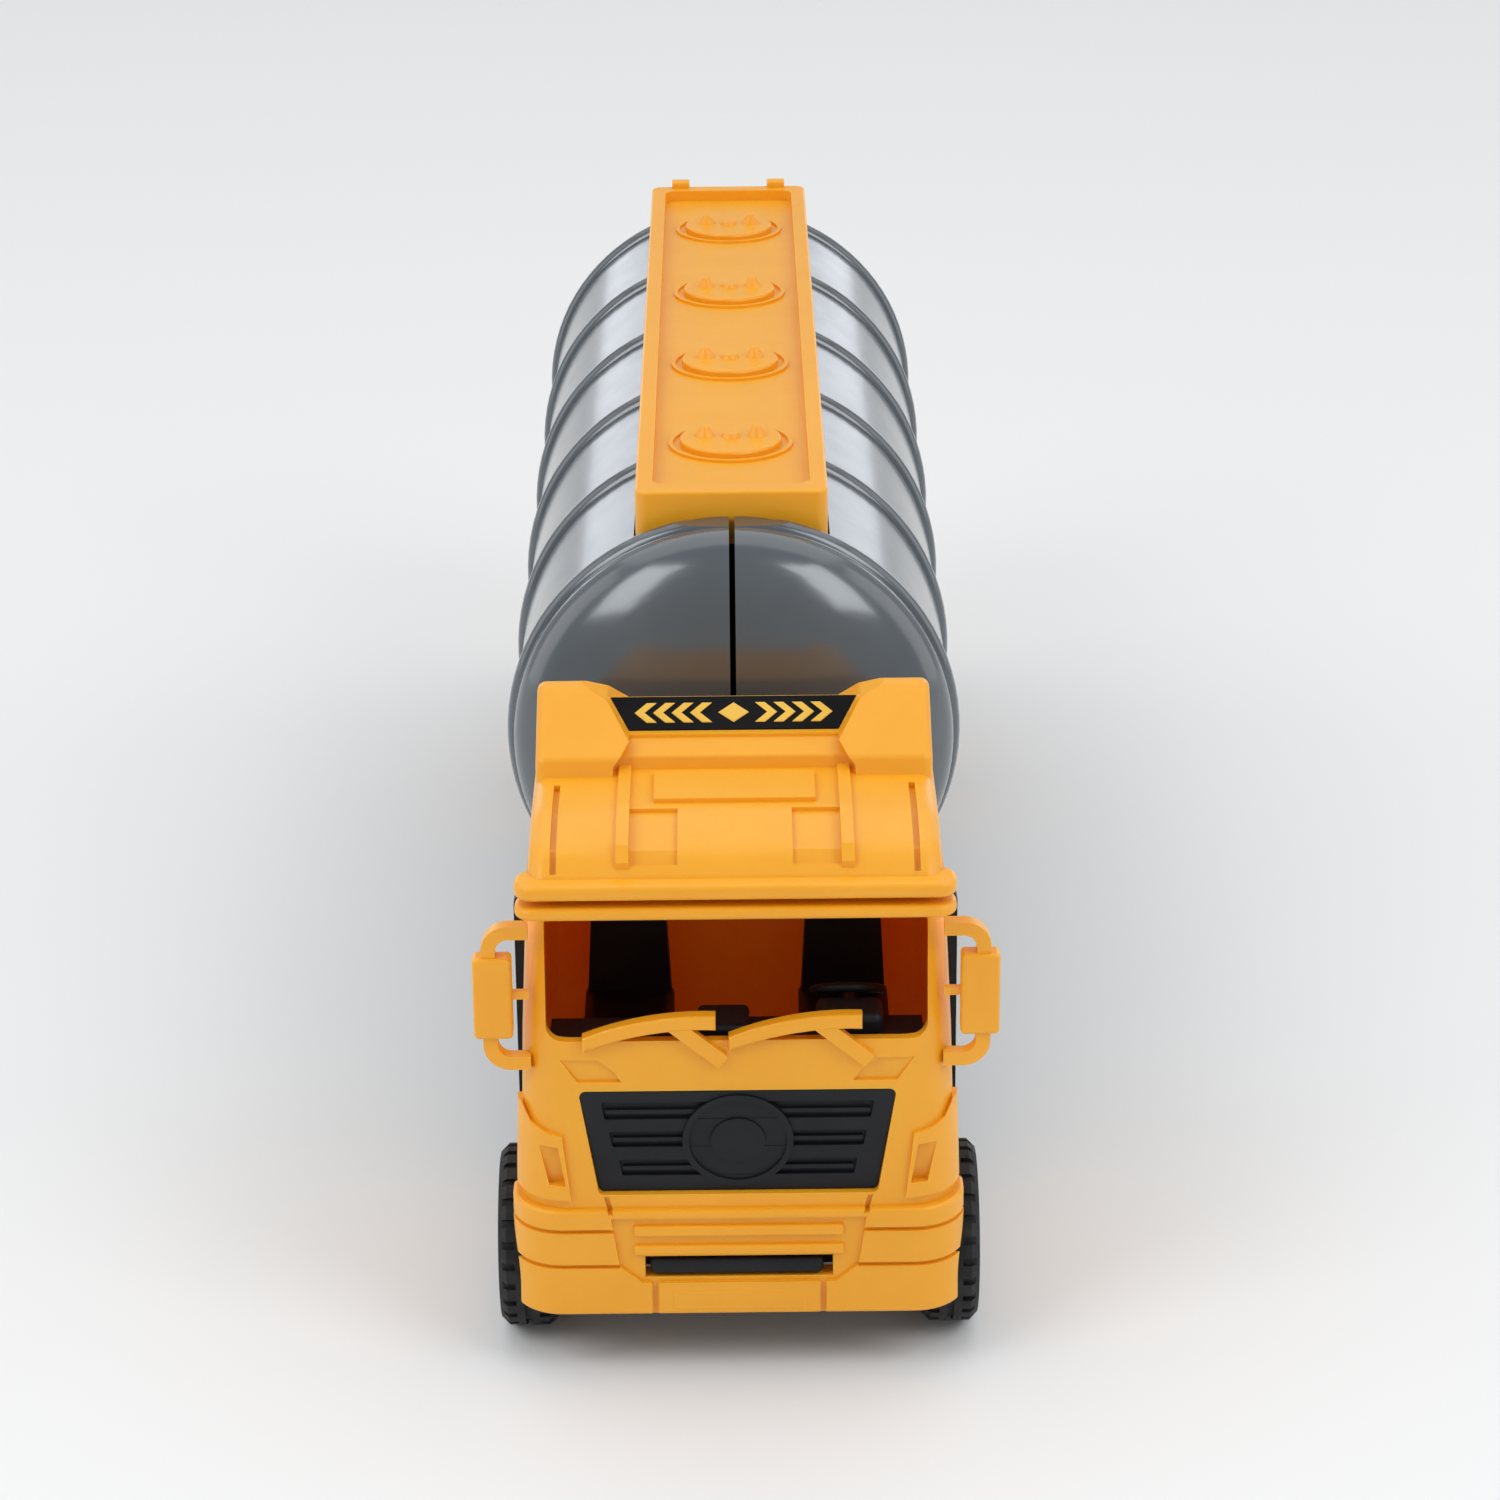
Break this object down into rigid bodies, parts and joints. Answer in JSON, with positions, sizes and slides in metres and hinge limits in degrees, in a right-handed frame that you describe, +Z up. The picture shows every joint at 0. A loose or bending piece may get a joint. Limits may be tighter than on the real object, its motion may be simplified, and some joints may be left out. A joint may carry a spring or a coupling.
{
  "type": "toy tanker truck",
  "caption": "Toy tanker truck: cab-over cab, ribbed round tank split lengthwise into two opening half shells, top walkway with hatches, rear ladder and rolling wheels.",
  "frame": {"origin": "on the ground, in the middle of the truck's length and width", "axes": "+Z up; the cab faces -Y, so +Y runs from the cab to the rear end; +X is the driver's left"},
  "size_m": [0.0996, 0.3861, 0.1466],
  "materials": {
    "orange": "satin",
    "tank_grey": "gloss",
    "black": "satin",
    "tyre": "matte",
    "hub": "satin",
    "steel": "brushed",
    "lamp_red": "gloss"
  },
  "bodies": {
    "truck": {"back_panel": "black", "cab_body": "orange", "cab_floor": "black", "cab_roof": "orange", "cab_screws": "steel", "chassis_frame": "black", "cradle_screws": "steel", "dashboard": "black", "front_bulkhead": "black", "fuel_tank": "black", "grille": "black", "hinge_pins_left": "steel", "hinge_pins_right": "steel", "hold_floor": "black", "lower_intake": "black", "mirror_left": "orange", "mirror_right": "orange", "rear_bulkhead": "black", "rear_bumper": "orange", "rear_fender_left": "black", "rear_fender_right": "black", "rear_ladder": "orange", "roof_sign": "black", "seat_left": "black", "seat_right": "black", "side_locker": "black", "steering_wheel": "black", "tail_lamps": "lamp_red", "tank_cradle": "black", "top_beam": "black", "walkway": "orange"},
    "tank_shell_left": {"tank_shell_left": "tank_grey"},
    "tank_shell_right": {"tank_shell_right": "tank_grey"},
    "front_wheels": {"front_axle": "steel", "front_hub_cap_left": "hub", "front_hub_cap_right": "hub", "front_wheel_left": "tyre", "front_wheel_right": "tyre"},
    "middle_wheels": {"middle_axle": "steel", "middle_hub_cap_left": "hub", "middle_hub_cap_right": "hub", "middle_wheel_left": "tyre", "middle_wheel_right": "tyre"},
    "rear_wheels": {"rear_axle": "steel", "rear_hub_cap_left": "hub", "rear_hub_cap_right": "hub", "rear_wheel_left": "tyre", "rear_wheel_right": "tyre"}
  },
  "joints": [
    {"name": "front_wheels_turn", "type": "hinge", "parent": "truck", "child": "front_wheels", "pos_m": [0, -0.167, 0.018], "axis": [1, 0, 0], "continuous": true},
    {"name": "middle_wheels_turn", "type": "hinge", "parent": "truck", "child": "middle_wheels", "pos_m": [0, 0.088, 0.018], "axis": [1, 0, 0], "continuous": true},
    {"name": "rear_wheels_turn", "type": "hinge", "parent": "truck", "child": "rear_wheels", "pos_m": [0, 0.13, 0.018], "axis": [1, 0, 0], "continuous": true},
    {"name": "tank_shell_left_opens", "type": "hinge", "parent": "truck", "child": "tank_shell_left", "pos_m": [0.02799, 0, 0.05353], "axis": [0, 1, 0], "range_deg": [0, 75]},
    {"name": "tank_shell_right_opens", "type": "hinge", "parent": "truck", "child": "tank_shell_right", "pos_m": [-0.02799, 0, 0.05353], "axis": [0, -1, 0], "range_deg": [0, 75]}
  ]
}
